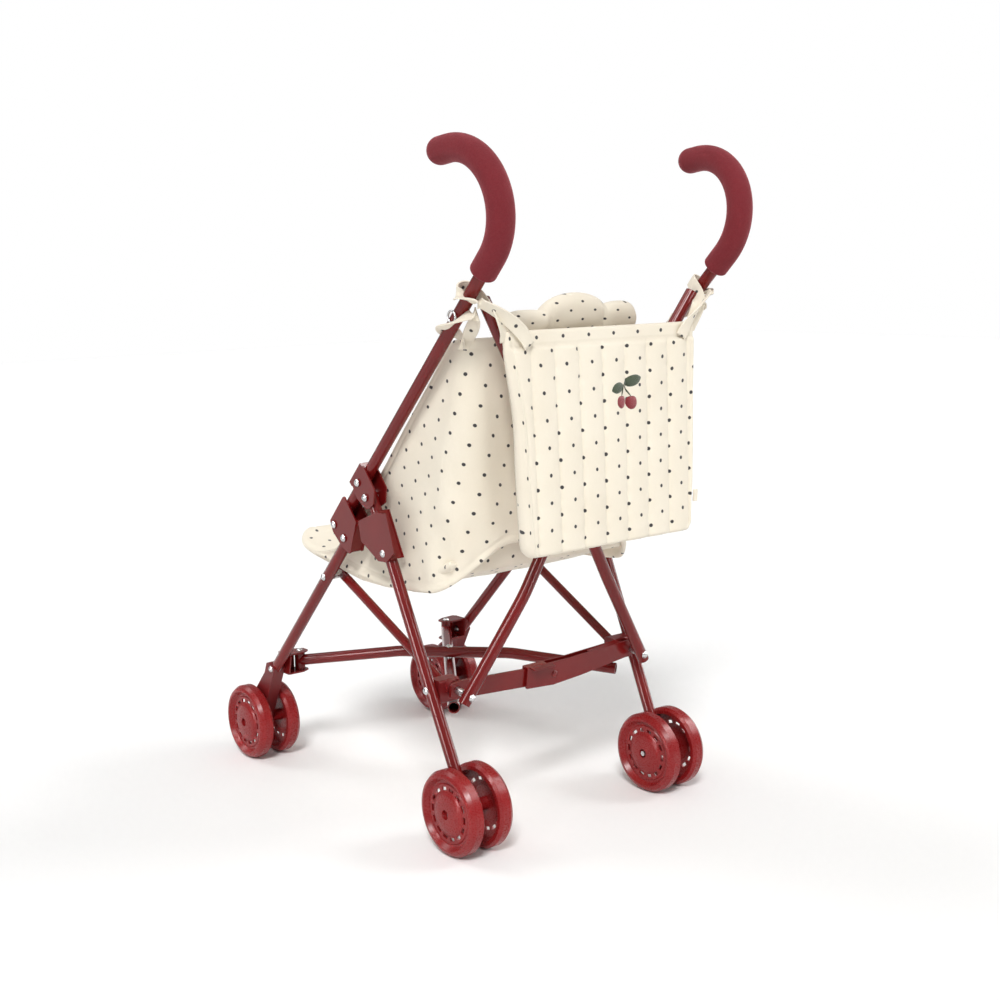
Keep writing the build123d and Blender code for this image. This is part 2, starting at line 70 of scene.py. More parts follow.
def aimCamera():
    yaw, pitch, roll = (math.radians(studio[key]) for key in ("yaw", "pitch", "roll"))
    ahead = Vector((math.cos(pitch) * math.cos(yaw), math.cos(pitch) * math.sin(yaw), math.sin(pitch)))
    side = ahead.cross(Vector((0, 0, 1))).normalized()
    up = side.cross(ahead)
    right = side * math.cos(roll) + up * math.sin(roll)
    top = up * math.cos(roll) - side * math.sin(roll)
    lensData = bpy.data.cameras.new("camera")
    lensData.lens = studio["lens"]
    lensData.sensor_width = 36
    camera = bpy.data.objects.new("camera", lensData)
    turned = Matrix((right, top, -ahead)).transposed().to_4x4()
    camera.matrix_world = Matrix.Translation(studio["eye"]) @ turned
    bpy.context.scene.collection.objects.link(camera)
    bpy.context.scene.camera = camera


def addSun(name, towards, softness, strength):
    light = bpy.data.lights.new(name, "SUN")
    light.angle = math.radians(softness)
    light.energy = strength
    sun = bpy.data.objects.new(name, light)
    sun.rotation_euler = Vector(towards).to_track_quat("Z", "Y").to_euler()
    bpy.context.scene.collection.objects.link(sun)


aimCamera()
for number, (towards, softness, strength) in enumerate(studio["suns"]):
    addSun("soft light %d" % (number + 1), towards, softness, strength)
world = bpy.data.worlds.new("studio")
world.use_nodes = True
sky = world.node_tree
skyLight = sky.nodes["Background"]
skyLight.inputs["Color"].default_value = studio["skyColour"]
backdrop = sky.nodes.new("ShaderNodeBackground")      # what shows behind the stroller
backdrop.inputs["Color"].default_value = (1, 1, 1, 1)
backdrop.inputs["Strength"].default_value = studio["backdropStrength"]


def skyMath(operation, first, second):
    made = sky.nodes.new("ShaderNodeMath")
    made.operation = operation
    for socket, source in ((made.inputs[0], first), (made.inputs[1], second)):
        if hasattr(source, "is_output"):
            sky.links.new(source, socket)
        else:
            socket.default_value = source
    return made.outputs[0]


def stripSoftboxes():
    # tall narrow softboxes round the stroller; only glossy surfaces see them, as long light streaks
    split = sky.nodes.new("ShaderNodeSeparateXYZ")
    sky.links.new(sky.nodes.new("ShaderNodeTexCoord").outputs["Generated"], split.inputs[0])
    total = 0.0
    for (cx, cy), half, strength in studio["strips"]:
        towards = skyMath("ADD", skyMath("MULTIPLY", split.outputs[0], cx),
                          skyMath("MULTIPLY", split.outputs[1], cy))
        aside = skyMath("ADD", skyMath("MULTIPLY", split.outputs[0], -cy),
                        skyMath("MULTIPLY", split.outputs[1], cx))
        edge = skyMath("SUBTRACT", 1.0, skyMath("DIVIDE", skyMath("ABSOLUTE", aside, 0.0), half))
        inside = skyMath("MINIMUM", skyMath("MAXIMUM", skyMath("MULTIPLY", edge, 3.0), 0.0), 1.0)
        lit = skyMath("MULTIPLY", inside, skyMath("GREATER_THAN", towards, 0.0))
        above = skyMath("LESS_THAN", split.outputs[2], 0.85)
        total = skyMath("ADD", total, skyMath("MULTIPLY", skyMath("MULTIPLY", lit, above), strength))
    return total


path = sky.nodes.new("ShaderNodeLightPath")
glossyLight = skyMath("MULTIPLY", stripSoftboxes(), path.outputs["Is Glossy Ray"])
sky.links.new(skyMath("ADD", glossyLight, studio["skyStrength"]), skyLight.inputs["Strength"])
choose = sky.nodes.new("ShaderNodeMixShader")
sky.links.new(path.outputs["Is Camera Ray"], choose.inputs[0])
sky.links.new(skyLight.outputs[0], choose.inputs[1])
sky.links.new(backdrop.outputs[0], choose.inputs[2])
sky.links.new(choose.outputs[0], sky.nodes["World Output"].inputs["Surface"])
bpy.context.scene.world = world
bpy.context.scene.view_settings.view_transform = "Standard"
bpy.context.scene.view_settings.look = "None"
print("camera and lights set")

# finishes


class Recipe:
    # a material's nodes, added one call at a time
    def __init__(self, name):
        self.material = bpy.data.materials.new(name)
        self.material.use_nodes = True
        self.tree = self.material.node_tree
        self.shader = self.tree.nodes["Principled BSDF"]

    def node(self, kind, links=(), **values):
        made = self.tree.nodes.new(kind)
        for key, value in values.items():
            setattr(made, key, value)
        for socket, source in dict(links).items():
            self.plug(source, made.inputs[socket])
        return made

    def plug(self, source, socket):
        if hasattr(source, "is_output"):
            self.tree.links.new(source, socket)
        else:
            socket.default_value = source

    def math(self, operation, first, second=0.0, third=0.0):
        return self.node("ShaderNodeMath", {0: first, 1: second, 2: third}, operation=operation).outputs[0]

    def noise(self, where, scale, detail=3.0, rough=0.5):
        links = {"Vector": where, "Scale": scale, "Detail": detail, "Roughness": rough}
        return self.node("ShaderNodeTexNoise", links).outputs["Fac"]

    def spread(self, value, low, high, outLow, outHigh):
        links = {"Value": value, "From Min": low, "From Max": high, "To Min": outLow, "To Max": outHigh}
        return self.node("ShaderNodeMapRange", links).outputs[0]

    def blend(self, share, first, second):
        made = self.node("ShaderNodeMix", data_type="RGBA")
        self.plug(share, made.inputs[0])
        self.plug(first, made.inputs[6])
        self.plug(second, made.inputs[7])
        return made.outputs[2]

    def bump(self, height, strength, depth, under=None):
        links = {"Height": height, "Strength": strength, "Distance": depth}
        made = self.node("ShaderNodeBump", links)
        if under is not None:
            self.plug(under, made.inputs["Normal"])
        return made.outputs["Normal"]

    def finish(self, **sockets):
        for name, source in sockets.items():
            self.plug(source, self.shader.inputs[name.replace("_", " ")])
        return self.material

    def objectSpace(self):
        return self.node("ShaderNodeTexCoord").outputs["Object"]

    def clothSpace(self):
        return self.node("ShaderNodeUVMap", uv_map="cloth").outputs["UV"]


paint = {"colour": (0.140, 0.0060, 0.0060, 1), "brightColour": (0.175, 0.0075, 0.0075, 1), "roughness": 0.12}
plastic = {"colour": (0.255, 0.0110, 0.0120, 1), "deepColour": (0.215, 0.0085, 0.0095, 1),
           "scuff": (0.32, 0.035, 0.038, 1)}
# each thread's first tone is painted shade for the grooves between stitches, its second tone the lighter
# ridge tops
thread = {
    "fruit": ((0.150, 0.004, 0.010, 1), (0.270, 0.013, 0.020, 1)),
    "leaf": ((0.020, 0.034, 0.015, 1), (0.050, 0.074, 0.032, 1)),
    "stem": ((0.030, 0.040, 0.018, 1), (0.060, 0.075, 0.035, 1)),
    "step": 2600.0,
}
# the darker foam colour is painted shade for the foam's open cells
foam = {"colour": (0.160, 0.0145, 0.0200, 1), "poreShadeColour": (0.100, 0.0080, 0.0115, 1)}
cotton = {
    "cream": (0.825, 0.760, 0.640, 1),
    "creamShade": (0.765, 0.692, 0.565, 1),
    "dotColour": (0.012, 0.012, 0.020, 1),
    "dotRadius": 1.4,
    "columnStep": 12.2,
    "rowStep": 19.7,
}


def glossPaint():
    r = Recipe("dark red gloss paint")
    where = r.objectSpace()
    peel = r.noise(where, 420.0, 2.0)
    drift = r.noise(where, 14.0, 3.0)
    speck = r.noise(where, 1500.0, 2.0)
    colour = r.blend(r.spread(drift, 0.35, 0.65, 0.0, 1.0), paint["colour"], paint["brightColour"])
    even = r.spread(drift, 0.3, 0.7, paint["roughness"], paint["roughness"] + 0.06)
    rough = r.math("ADD", even, r.math("MULTIPLY", speck, 0.04))
    return r.finish(Base_Color=colour, Roughness=rough, Specular_IOR_Level=0.38,
                    Normal=r.bump(peel, 0.06, 0.0003))


def mouldedPlastic(name, colour, deepColour, rough):
    r = Recipe(name)
    where = r.objectSpace()
    drift = r.noise(where, 22.0, 3.0)
    grain = r.noise(where, 900.0, 2.0)
    colour = r.blend(r.spread(drift, 0.35, 0.65, 0.0, 1.0), deepColour, colour)
    scuff = r.spread(r.noise(where, 160.0, 5.0, 0.7), 0.62, 0.78, 0.0, 0.06)
    colour = r.blend(scuff, colour, plastic["scuff"])
    roughness = r.spread(grain, 0.3, 0.7, rough - 0.04, rough + 0.05)
    return r.finish(Base_Color=colour, Roughness=roughness, Specular_IOR_Level=0.36,
                    Normal=r.bump(grain, 0.05, 0.0001))


def gripFoam():
    r = Recipe("burgundy grip foam")
    where = r.objectSpace()
    cells = r.node("ShaderNodeTexVoronoi", {"Vector": where, "Scale": 1100.0}).outputs["Distance"]
    soft = r.noise(where, 500.0, 4.0, 0.65)
    drift = r.noise(where, 20.0, 2.0)
    # painted shade: the foam's colour darkens in its open cells, where the bump dips
    poreShade = r.math("MULTIPLY", r.spread(cells, 0.15, 0.55, 1.0, 0.0), 0.55)
    colour = r.blend(poreShade, foam["colour"], foam["poreShadeColour"])
    colour = r.blend(r.spread(drift, 0.3, 0.7, 0.0, 0.25), colour, (0.19, 0.020, 0.027, 1))
    return r.finish(Base_Color=colour, Roughness=r.spread(soft, 0.3, 0.7, 0.78, 0.95), Sheen_Weight=0.35,
                    Sheen_Roughness=0.45, Sheen_Tint=(0.75, 0.30, 0.34, 1), Specular_IOR_Level=0.30,
                    Normal=r.bump(r.math("ADD", soft, r.math("MULTIPLY", cells, 0.5)), 0.35, 0.0006))


def platedSteel(name, rough):
    r = Recipe(name)
    where = r.objectSpace()
    drawn = r.node("ShaderNodeMapping", {"Vector": where, "Scale": (60, 60, 900)}).outputs[0]
    brushed = r.noise(drawn, 12.0, 3.0)
    spots = r.noise(where, 240.0, 4.0)
    colour = r.blend(r.spread(spots, 0.45, 0.7, 0.0, 0.5), (0.62, 0.62, 0.63, 1), (0.36, 0.36, 0.37, 1))
    return r.finish(Base_Color=colour, Metallic=1.0,
                    Roughness=r.spread(brushed, 0.3, 0.7, rough, rough + 0.14),
                    Normal=r.bump(brushed, 0.10, 0.0002))


def printedCotton(name, dots=True):
    # cream cotton with staggered dark dots, laid out in millimetres of cloth
    r = Recipe(name)
    cloth = r.clothSpace()
    split = r.node("ShaderNodeSeparateXYZ", {"Vector": cloth})
    wander = r.noise(r.objectSpace(), 90.0, 2.0)
    nudge = r.math("MULTIPLY", r.math("SUBTRACT", wander, 0.5), 1.1)
    across = r.math("ADD", r.math("MULTIPLY", split.outputs[0], 1000.0), nudge)
    along = r.math("SUBTRACT", r.math("MULTIPLY", split.outputs[1], 1000.0), nudge)
    thread = r.noise(cloth, 2600.0, 2.0)

    def dotsFrom(shiftAcross, shiftAlong):
        wide, tall = cotton["columnStep"], cotton["rowStep"] / 2
        dx = r.math("WRAP", r.math("ADD", across, shiftAcross), wide, -wide)
        dy = r.math("WRAP", r.math("ADD", along, shiftAlong), tall, -tall)
        far = r.math("SQRT", r.math("ADD", r.math("MULTIPLY", dx, dx), r.math("MULTIPLY", dy, dy)))
        ragged = r.math("ADD", far, r.math("MULTIPLY", r.math("SUBTRACT", thread, 0.5), 0.5))
        return r.spread(ragged, cotton["dotRadius"] - 0.16, cotton["dotRadius"] + 0.16, 1.0, 0.0)

    drift = r.noise(r.objectSpace(), 26.0, 4.0)
    colour = r.blend(r.spread(drift, 0.35, 0.7, 0.0, 0.55), cotton["cream"], cotton["creamShade"])
    slub = r.spread(r.noise(r.node("ShaderNodeMapping", {"Vector": cloth, "Scale": (1, 9, 1)}).outputs[0],
                            420.0, 3.0), 0.35, 0.75, 0.0, 0.10)
    colour = r.blend(slub, colour, (0.60, 0.52, 0.37, 1))
    if dots:
        marks = r.math("MAXIMUM", dotsFrom(0.0, 0.0), dotsFrom(cotton["columnStep"], cotton["rowStep"] / 2))
        colour = r.blend(r.math("MULTIPLY", marks, 0.95), colour, cotton["dotColour"])
    warp = r.math("SINE", r.math("MULTIPLY", split.outputs[0], 9600.0))
    weft = r.math("SINE", r.math("MULTIPLY", split.outputs[1], 9600.0))
    weave = r.math("MULTIPLY", warp, weft)
    fuzz = r.math("ADD", weave, r.math("MULTIPLY", thread, 1.4))
    normal = r.bump(fuzz, 0.18, 0.00012)
    creases = r.noise(r.objectSpace(), 75.0, 4.0, 0.6)
    normal = r.bump(creases, 0.30, 0.0012, normal)
    return r.finish(Base_Color=colour, Roughness=0.88, Sheen_Weight=0.22, Sheen_Roughness=0.5,
                    Specular_IOR_Level=0.22, Normal=normal)


def stitchedThread(name, grooveShadeAndRidgeTones):
    # satin stitches lying side by side along the cloth's second direction, coloured with painted shade in the
    # grooves between stitches and lighter ridge tops, plus random tone
    r = Recipe(name)
    split = r.node("ShaderNodeSeparateXYZ", {"Vector": r.clothSpace()})
    wobble = r.math("MULTIPLY", r.noise(r.objectSpace(), 700.0, 2.0), 2.2)
    ridge = r.math("SINE", r.math("ADD", r.math("MULTIPLY", split.outputs[0], thread["step"] * 6.28), wobble))
    drift = r.noise(r.objectSpace(), 900.0, 3.0)
    # painted shade: the thread colour darkens in the grooves between stitches and lightens on the ridges,
    # with random drift on top
    share = r.math("ADD", r.spread(ridge, -1.0, 1.0, 0.0, 0.65), r.math("MULTIPLY", drift, 0.35))
    return r.finish(Base_Color=r.blend(share, *grooveShadeAndRidgeTones), Roughness=0.52, Sheen_Weight=0.25,
                    Specular_IOR_Level=0.4, Normal=r.bump(ridge, 0.55, 0.00012))


paintFinish = glossPaint()
wheelFinish = mouldedPlastic("dark red wheel plastic", plastic["colour"], plastic["deepColour"], 0.28)
blockFinish = mouldedPlastic("dark red bracket plastic", (0.150, 0.0085, 0.0095, 1),
                             (0.120, 0.0065, 0.0075, 1), 0.38)
foamFinish = gripFoam()
axleFinish = platedSteel("axle steel", 0.30)
rivetFinish = platedSteel("rivet steel", 0.20)
cottonFinish = printedCotton("dotted cream cotton")
plainCotton = printedCotton("plain cream binding", dots=False)
fruitFinish = stitchedThread("red embroidery thread", thread["fruit"])
leafFinish = stitchedThread("green embroidery thread", thread["leaf"])
stemFinish = stitchedThread("brown green embroidery thread", thread["stem"])

finishOf = {
    "frame_paint": paintFinish,
    "wheel_plastic": wheelFinish,
    "moulded_plastic": blockFinish,
    "grip_foam": foamFinish,
    "axle_steel": axleFinish,
    "rivet_steel": rivetFinish,
    "seat_fabric": cottonFinish,
}
for part in frame["record"]["subparts"]:
    piece = nodes[part["node"]]
    piece.data.materials.clear()
    piece.data.materials.append(finishOf[part["material_slot"]])
print("finishes on the metal and plastic pieces")

# making cloth pieces


def newPiece(name, points, faces, cloth, finish, body):
    # cloth gives each point's place on the flat cloth, in metres
    mesh = bpy.data.meshes.new(name)
    mesh.from_pydata([tuple(p) for p in points], [], faces)
    layer = mesh.uv_layers.new(name="cloth")
    for loop in mesh.loops:
        layer.data[loop.index].uv = cloth[loop.vertex_index]
    mesh.polygons.foreach_set("use_smooth", [True] * len(mesh.polygons))
    mesh.materials.append(finish)
    mesh.update()
    piece = bpy.data.objects.new(name, mesh)
    bpy.context.scene.collection.objects.link(piece)
    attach(piece, body)
    return piece


def skin(rows, closedRound=False, capEnds=False):
    # faces that join rows of points of equal count
    count = len(rows[0])
    faces = []
    for i in range(len(rows) - 1):
        for j in range(count if closedRound else count - 1):
            k = (j + 1) % count
            faces.append((i * count + j, i * count + k, (i + 1) * count + k, (i + 1) * count + j))
    if capEnds:
        faces.append(tuple(reversed(range(count))))
        faces.append(tuple((len(rows) - 1) * count + j for j in range(count)))
    return faces


def mix(a, b, t):
    return a + (b - a) * t


def ease(t):
    t = min(max(t, 0.0), 1.0)
    return t * t * (3 - 2 * t)


def follow(stations, at):
    # smooth value between (place, value) stations
    if at <= stations[0][0]:
        return stations[0][1]
    for (a, low), (b, high) in zip(stations, stations[1:]):
        if at <= b:
            return mix(low, high, (at - a) / (b - a))
    return stations[-1][1]


def smoothPath(points, count, rounds=3):
    # a rounded line through corner points, evenly spaced
    line = [Vector(p) for p in points]
    for _ in range(rounds):
        cut = [line[0]]
        for a, b in zip(line, line[1:]):
            cut += [a.lerp(b, 0.25), a.lerp(b, 0.75)]
        line = cut + [line[-1]]
    lengths = [0.0]
    for a, b in zip(line, line[1:]):
        lengths.append(lengths[-1] + (b - a).length)
    out = []
    k = 0
    for i in range(count):
        want = lengths[-1] * i / (count - 1)
        while k < len(line) - 2 and lengths[k + 1] < want:
            k += 1
        span = max(lengths[k + 1] - lengths[k], 1e-9)
        out.append(line[k].lerp(line[k + 1], (want - lengths[k]) / span))
    return out


def ripple(x, y, z, scale, seed):
    return noise.noise(Vector((x * scale + seed, y * scale, z * scale)))


# bag

bag = {
    "halfTop": 94.7,
    "halfLow": 87.0,
    "zTop": 390.5,
    "zLow": 228.0,
    "rearTop": 172.6,
    "rearLow": 178.6,
    "frontTop": 166.4,
    "frontLow": 167.5,
    "seams": (72.5, 50.5, 28.0, 5.5, -17.0, -39.5, -62.0, -84.0),
    "hemHeight": 11.0,
    "puff": 3.0,
    "leftIn": 6.5,
    "pucker": 0.7,
    "lean": 0.09,
    "printAt": (78.5, 375.6),
    "wall": 1.7,
    "columns": 230,
    "rows": 96,
}


def seamPuff(x, z):
    # how proud the quilted cloth stands at x, flat on every seam
    edges = [bag["halfTop"] + 2.0] + list(bag["seams"]) + [-bag["halfTop"] - 2.0]
    for right, left in zip(edges, edges[1:]):
        if left <= x <= right:
            share = (x - left) / (right - left)
            break
    else:
        return 0.0
    fullness = 1.0 if right - left > 14 else 0.75
    near = min(x - left, right - x)
    gathers = ripple(0, z, left, 0.16, 3.0) * math.exp(-((near / 5.0) ** 2))
    return fullness * bag["puff"] * math.sin(math.pi * share) ** 0.5 + bag["pucker"] * gathers


def bagRear(x, z):
    t = (z - bag["zLow"]) / (bag["zTop"] - bag["zLow"])
    return mix(bag["rearLow"], bag["rearTop"], t) + 1.3 * math.sin(2.4 * t + x * 0.018)


def bagOut(x, z, hem):
    body = ease((bag["zTop"] - bag["hemHeight"] - z) / 2.5)
    groove = math.exp(-(((z - (bag["zTop"] - bag["hemHeight"])) / 0.9) ** 2))
    sideGroove = math.exp(-(((abs(x) - (bagLeft(z) if x > 0 else bagHalf(z)) + 5.0) / 0.9) ** 2))
    flat = 0.9 + 0.35 * ripple(x, 0, z, 0.07, 7.0)
    return (mix(flat, seamPuff(x, z), body) if hem else 0.0) - 0.8 * groove - 0.7 * sideGroove


def bagHalf(z):
    t = (z - bag["zLow"]) / (bag["zTop"] - bag["zLow"])
    corner = max(0.0, 1.0 - (z - bag["zLow"]) / 9.0)
    sway = 0.9 * math.sin(5.0 * t + 0.4)
    return mix(bag["halfLow"], bag["halfTop"], t) - 6.0 * (1 - math.sqrt(max(0.0, 1 - corner ** 2))) + sway


def bagLeft(z):
    # the left edge runs in further than the right one below the strap
    return bagHalf(z) - bag["leftIn"] * ease((386 - z) / 70)


def bagPrint(x, z):
    # where the cloth of the bag's rear face comes from; the print leans a little below the top
    lean = bag["lean"] * math.sin(math.pi * min(max((375 - z) / 180, 0.0), 1.0))
    return ((x * (1 + lean) - bag["printAt"][0]) * mm, (z - bag["printAt"][1]) * mm)


def bagRing(z, depthShare=1.0, inset=0.0, inside=False):
    half, left = bagHalf(z) - inset, bagLeft(z) - inset
    points, cloth = [], []
    n = bag["columns"]
    t = (z - bag["zLow"]) / (bag["zTop"] - bag["zLow"])
    front = mix(bag["frontLow"], bag["frontTop"], t)
    turns = 7
    for i in range(n + 1):
        x = mix(left - 2.6, -half + 2.6, i / n)
        rear = bagRear(x, z)
        middle = (rear + front) / 2
        y = rear + (0 if inside else bagOut(x, z, True)) - inset
        points.append(Vector((x, middle + (y - middle) * depthShare, z)))
        cloth.append(bagPrint(x, z))
    for side, order in ((-1, 1), (1, -1)):
        if side == 1:
            for i in range(n + 1):
                x = mix(-half + 2.6, left - 2.6, i / n)
                rear = bagRear(x, z)
                middle = (rear + front) / 2
                y = front - (0 if inside else 0.8 * bagOut(x, z, True)) + inset
                points.append(Vector((x, middle + (y - middle) * depthShare, z)))
                cloth.append(((-x + 2.2 * half) * mm, z * mm))
        edge = left if side == 1 else -half
        rear = bagRear(edge - side * 2.6, z)
        middle, reach = (rear + front) / 2, (rear - front) / 2 - inset
        for k in range(1, turns):
            turn = math.pi * k / turns
            y = middle + order * reach * math.cos(turn) * depthShare
            points.append(Vector((edge - side * 2.6 * (1 - math.sin(turn)), y, z)))
            cloth.append(bagPrint(edge + side * reach * k / turns, z))
    return points, cloth


def makeBag():
    rings = []
    for k in range(7):
        turn = math.pi / 2 * k / 6
        rings.append(bagRing(bag["zLow"] + 3.2 * (1 - math.cos(turn)), max(0.02, math.sin(turn))))
    span = bag["zTop"] - bag["zLow"] - 3.2 - 1.0
    for k in range(1, bag["rows"] + 1):
        rings.append(bagRing(bag["zLow"] + 3.2 + span * k / bag["rows"]))
    rings.append(bagRing(bag["zTop"] - 0.3, 1.0, 0.45))
    rings.append(bagRing(bag["zTop"], 1.0, 0.9, True))
    rings.append(bagRing(bag["zTop"] - 0.4, 1.0, 1.5, True))
    for k in range(1, 25):
        rings.append(bagRing(bag["zTop"] - 0.4 - (span - 2) * k / 24, 1.0, bag["wall"], True))
    rings.append(bagRing(bag["zLow"] + 5.0, 0.3, bag["wall"], True))
    rows = [ring[0] for ring in rings]
    points = [p * mm for row in rows for p in row]
    cloth = [c for ring in rings for c in ring[1]]
    piece = newPiece("bag", points, skin(rows, True, True), cloth, cottonFinish, "left_frame")
    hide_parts("bag_body")
    return piece


bagPiece = makeBag()
print("bag made")

# seat

seat = {
    "under": ((-127, 206.5), (-116, 201.0), (-92, 194.5), (-58, 189.6), (-20, 184.2), (21, 184.0),
              (60, 193.0), (88, 204.0), (104, 212.0)),
    "thick": 7.6,
    "halfFront": 95.0,
    "halfRear": 96.5,
    "cornerRadius": 26.0,
    "backFoot": (100.5, 205.0),
    "backTop": (130.5, 388.0),
    "backHalf": (82.0, 80.0),
    "backThick": 7.0,
}


def padRing(half, thick, samples, x0=0.0):
    # a flat rounded loop: across, and through the thickness
    loop = []
    r = thick / 2
    for i in range(samples + 1):
        loop.append((mix(-half + r, half - r, i / samples), r, 1.0))
    for k in range(1, 8):
        a = math.pi * k / 8
        loop.append((half - r + r * math.sin(a), r * math.cos(a), 0.0))
    for i in range(samples + 1):
        loop.append((mix(half - r, -half + r, i / samples), -r, -1.0))
    for k in range(1, 8):
        a = math.pi * k / 8
        loop.append((-half + r - r * math.sin(a), -r * math.cos(a), 0.0))
    return [(x + x0, t, s) for x, t, s in loop]


def seatEdgeGroove(x, half, inset=8.5):
    return math.exp(-(((half - abs(x) - inset) / 1.0) ** 2))


def makeSeatBase():
    s = seat
    y0, y1 = s["under"][0][0], s["under"][-1][0]
    rings, cloth = [], []
    count = 96
    for i in range(count + 1):
        y = mix(y0, y1, i / count)
        under = sum(follow(s["under"], y + d) for d in (-6, -3, 0, 3, 6)) / 5
        fromLip, fromHeel = y - y0, y1 - y
        half = mix(s["halfFront"], s["halfRear"], ease((y - y0) / 150))
        if fromLip < s["cornerRadius"]:
            cut = 1 - fromLip / s["cornerRadius"]
            half -= s["cornerRadius"] * (1 - math.sqrt(max(0.0, 1 - cut * cut)))
        endRound = min(1.0, min(fromLip, fromHeel) / (s["thick"] / 2) + 0.02)
        thick = s["thick"] * math.sqrt(max(0.0, 1 - (1 - endRound) ** 2))
        lipGroove = math.exp(-(((fromLip - 9.0) / 1.2) ** 2))
        row, flat = [], []
        for x, t, side in padRing(half, thick, 90):
            groove = 0.9 * max(seatEdgeGroove(x, half), lipGroove * (abs(x) < half - 8)) if side else 0.0
            inboard = max(0.0, 1 - (x / half) ** 2)
            crown = 1.6 * inboard * (1 if side > 0 else 0.5) * ease(min(fromLip, fromHeel) / 20)
            sag = -2.0 * inboard * ease(min(fromLip, fromHeel) / 30)
            z = under + s["thick"] / 2 + t + side * (crown - groove) + sag
            z += 0.5 * ripple(x, y, 0, 0.045, 11.0) * abs(side)
            row.append(Vector((x, y, z)) * mm)
            flat.append((x * mm, (y + (0.0 if side >= 0 else 9.0)) * mm))
        rings.append(row)
        cloth += flat
    piece = newPiece("seat_cushion", [p for row in rings for p in row], skin(rings, True, True), cloth,
                     cottonFinish, "left_frame")
    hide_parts("seat_base")
    return piece


def makeSeatBack():
    s = seat
    foot, top = Vector((0, *s["backFoot"])), Vector((0, *s["backTop"]))
    up = (top - foot).normalized()
    outward = Vector((0, up.z, -up.y))          # towards the bag
    tall = (top - foot).length
    rings, cloth = [], []
    count = 96
    for i in range(count + 1):
        v = tall * i / count
        half = mix(s["backHalf"][0], s["backHalf"][1], v / tall)
        fromTop = tall - v
        if fromTop < 26:
            cut = 1 - fromTop / 26
            half -= 22 * (1 - math.sqrt(max(0.0, 1 - cut * cut)))
        endRound = min(1.0, min(v, fromTop) / (s["backThick"] / 2) + 0.02)
        thick = s["backThick"] * math.sqrt(max(0.0, 1 - (1 - endRound) ** 2))
        row = []
        for x, t, side in padRing(half, thick, 90):
            groove = 0.9 * seatEdgeGroove(x, half, 7.0) if side else 0.0
            crown = 1.5 * max(0.0, 1 - (x / half) ** 2) * ease(min(v, fromTop) / 20)
            wrinkle = 0.6 * ripple(x, v, 0, 0.035, 5.0) * abs(side)
            point = foot + up * v + outward * (t + side * (crown - groove) + wrinkle) + Vector((x, 0, 0))
            row.append(point * mm)
            cloth.append(((x + (0.0 if side >= 0 else 5.0)) * mm, v * mm))
        rings.append(row)
    piece = newPiece("backrest", [p for row in rings for p in row], skin(rings, True, True), cloth,
                     cottonFinish, "left_frame")
    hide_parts("seat_back")
    return piece


shell = {
    "hem": ((-84, 199.0), (-58, 195.0), (-20, 189.5), (21, 186.5), (60, 188.0), (88, 191.0), (120, 193.5)),
    "front": ((-84, 199.0), (-52, 206.0), (-30, 218.0), (-12, 239.0), (10, 264.0), (29, 284.0), (57, 315.0),
              (91, 351.0), (119, 381.5), (126, 384.5), (160, 386.5)),
    "sideLow": 97.0,
    "sideTop": 101.4,
    "backLow": 108.0,
    "backTop": 141.5,
    "cornerLow": 34.0,
    "cornerTop": 16.0,
    "rearRise": 34.0,
    "printTurn": 17.0,
    "printAt": (-256.5, 251.9),
    "hemWide": 7.5,
    "slack": 4.5,
    "thick": 2.0,
    "columns": 190,
    "rows": 110,
}


def shellPoint(share, z):
    # a point of the wrapped side and back: share runs from the front edge to the middle of the back
    h = (z - 190) / 196
    side = mix(shell["sideLow"], shell["sideTop"], h)
    back = mix(shell["backLow"], shell["backTop"], h)
    corner = mix(shell["cornerLow"], shell["cornerTop"], ease(h))
    straight, arc, flat = back - corner + 84, math.pi / 2 * corner, side - corner
    run = share * (straight + arc + flat)
    if run < straight:
        return Vector((side, -84 + run, z)), Vector((1, 0, 0)), run
    if run < straight + arc:
        a = (run - straight) / corner
        out = Vector((math.cos(a), math.sin(a), 0))
        return Vector((side - corner, back - corner, z)) + out * corner, out, run
    return Vector((side - corner - (run - straight - arc), back, z)), Vector((0, 1, 0)), run


def shellTop(share):
    z = 380.0
    for _ in range(12):
        y = shellPoint(share, z)[0].y
        z = mix(z, follow(shell["front"], y), 0.7)
    return z


